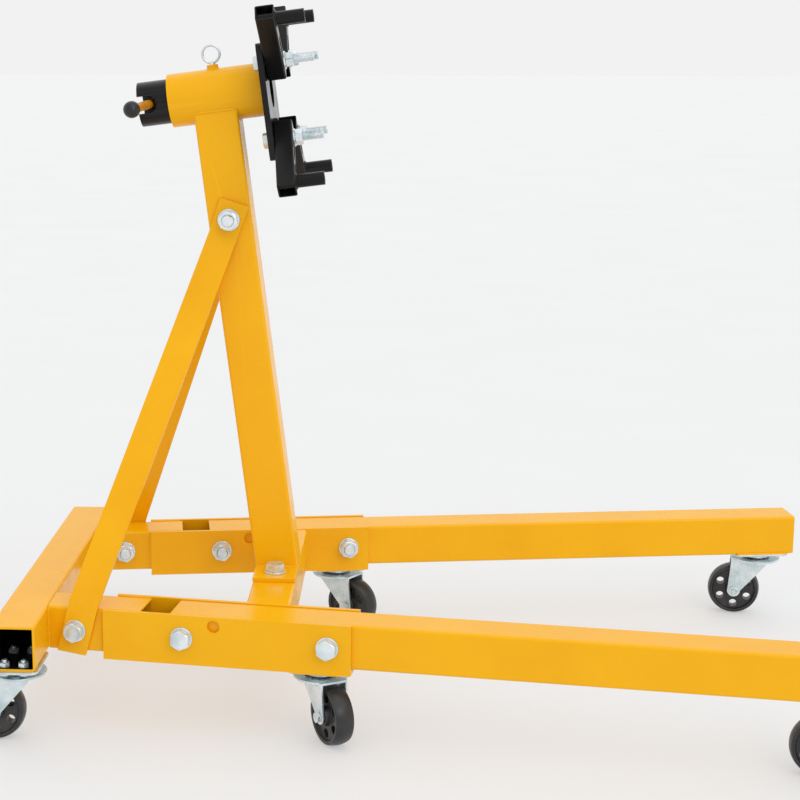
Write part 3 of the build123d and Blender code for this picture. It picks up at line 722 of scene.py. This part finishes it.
bm = bmesh.new()
for side in SIDES.values():
    turn = radians(side * SPLAY)
    # Stub to rear crossbeam, then channel to front cross tube.
    for across in (-HALF_TUBE, HALF_TUBE):
        beam_front = BEAM_BACK + HALF_TUBE
        upright_bead(bm, side, (beam_front + across * sin(turn)) / cos(turn), across)
    across = -side * CHANNEL_OUTSIDE / 2
    for cross_face in (CROSS_BACK - HALF_TUBE, CROSS_BACK + HALF_TUBE):
        upright_bead(bm, side, (cross_face + across * sin(turn)) / cos(turn), across)
    # Post to foot plate, channel to stub, mid caster plate to channel.
    start = Vector((HUB_X - 57.0, side * HALF_TUBE, FOOT_Z))
    add_bead(bm, [start, start + Vector((54.0, 0, 0))], 1.9)
    for across in (-30.4, 30.4):
        bead_along(bm, side, STUB_WELD, across, TUBE_TOP - 0.3, 1.9)
    for across in (-35.4, 35.4):
        bead_along(bm, side, (MID_CASTER_AT - 34.0, MID_CASTER_AT + 34.0), across, CHANNEL_BOTTOM, 1.6)
finish_piece("frame_welds", bm, "frame", "yellow_paint", 60.0)

# Where the square post and the round boss meet the barrel.
cope = []
for i in range(96):
    turn = 2 * pi * (i + 0.5) / 96
    reach = min(HALF_TUBE / max(abs(cos(turn)), abs(sin(turn))), 40.3)
    forward, left = reach * cos(turn), reach * sin(turn)
    cope.append(head_point(HALF_TUBE + forward, left, -sqrt(BARREL_RADIUS ** 2 - left ** 2)))
bm = bmesh.new()
add_bead(bm, cope, 1.7, closed=True)
boss = []
for forward, left, _ in circle(BOSS_WELD_RADIUS, 0, 36):
    boss.append(head_point(PIN_AT + forward, left, sqrt(BARREL_RADIUS ** 2 - left ** 2)))
add_bead(bm, boss, 1.1, closed=True)
finish_piece("barrel_welds", bm, "frame", "yellow_paint", 60.0)

for name, side in SIDES.items():
    bm = bmesh.new()
    for across in (-HALF_TUBE, HALF_TUBE):
        bead_along(bm, side, (FRONT_CASTER_AT - 40.0, FRONT_CASTER_AT + 40.0), across, BASE_Z + 0.6, 2.0)
    finish_piece("leg_welds_" + name, bm, "leg_" + name, "yellow_paint", 60.0)

for name, angle in ARM_ANGLES.items():
    spot, outwards = on_diagonal(angle, SLEEVE_AT, ARM_BACK + ARM_TUBE)
    across = FORWARD.cross(outwards)
    ring = [spot + outwards * x + across * y for x, y, _ in circle(SLEEVE_WELD_RADIUS, 0, 40)]
    bm = bmesh.new()
    add_bead(bm, ring, 1.7, closed=True)
    finish_piece("arm_weld_" + name, bm, "arm_" + name, "black_paint", 60.0)

# ---------------------------------------------------------------- remaining CAD nodes

for node, item in frame["nodes"].items():
    item.data.materials.clear()
    item.data.materials.append(MATERIALS[NODE_SLOT[node]])

# ---------------------------------------------------------------- floor, light and camera


def floor_material():
    """A translucent sweep lit from below as well, so shadows on it stay faint."""
    n = Nodes("studio_floor")
    colour = n.ramp(n.noise(0.7, 2.0), [(0.3, (0.395, 0.400, 0.404)), (0.7, (0.400, 0.405, 0.409))])
    roughness = n.range(n.noise(3.0, 3.0), 0.75, 0.90)
    glow = {"Emission_Color": (1.0, 1.0, 1.0, 1.0), "Emission_Strength": 0.41}
    return n.finish(colour, roughness, n.bump(n.noise(300.0, 2.0), 0.02, 0.0005), **glow)


bm = bmesh.new()
bmesh.ops.create_grid(bm, x_segments=24, y_segments=24, size=30.0)
mesh = bpy.data.meshes.new("floor")
bm.to_mesh(mesh)
bm.free()
floor = bpy.data.objects.new("floor", mesh)
mesh.materials.append(floor_material())
bpy.context.scene.collection.objects.link(floor)

BACKDROP = 0.887         # lights the backdrop to the same grey as the floor

world = bpy.data.worlds.new("studio")
world.use_nodes = True
background = world.node_tree.nodes["Background"]
background.inputs["Color"].default_value = (1.0, 1.0, 1.0, 1)
background.inputs["Strength"].default_value = BACKDROP
bpy.context.scene.world = world
bpy.context.scene.view_settings.view_transform = "Standard"


def area_light(name, spot, target, size, power):
    """A soft box at spot, in metres, facing target."""
    data = bpy.data.lights.new(name, "AREA")
    data.shape = "RECTANGLE"
    data.size, data.size_y = size
    data.energy = power
    light = bpy.data.objects.new(name, data)
    light.location = spot
    light.rotation_euler = (Vector(target) - Vector(spot)).to_track_quat("-Z", "Y").to_euler()
    bpy.context.scene.collection.objects.link(light)


def sun_light(name, spot, strength, spread):
    """Wide, even light from the direction of spot."""
    data = bpy.data.lights.new(name, "SUN")
    data.energy = strength
    data.angle = radians(spread)
    light = bpy.data.objects.new(name, data)
    light.rotation_euler = (-Vector(spot)).to_track_quat("-Z", "Y").to_euler()
    bpy.context.scene.collection.objects.link(light)


sun_light("key_dome", (1.2, -1.4, 2.6), 0.55, 60.0)
sun_light("back_dome", (-0.6, 1.6, 2.2), 0.25, 60.0)
area_light("front_box", (1.4, -2.6, 1.6), (0, 0, 0.4), (1.6, 1.6), 9.0)

CAMERA_DOWN = 11.85      # degrees below level
CAMERA_TURN = 3.47       # degrees from looking straight across the stand

lens = bpy.data.cameras.new("camera")
lens.sensor_width = 36.0
lens.lens = 81.17
lens.shift_x = 0.1184
lens.clip_end = 100.0
camera = bpy.data.objects.new("camera", lens)
camera.location = ((HUB_X + 159.13) * MM, -2.48014, 0.92803)
camera.rotation_euler = (radians(90 - CAMERA_DOWN), 0, radians(CAMERA_TURN))
bpy.context.scene.collection.objects.link(camera)
bpy.context.scene.camera = camera
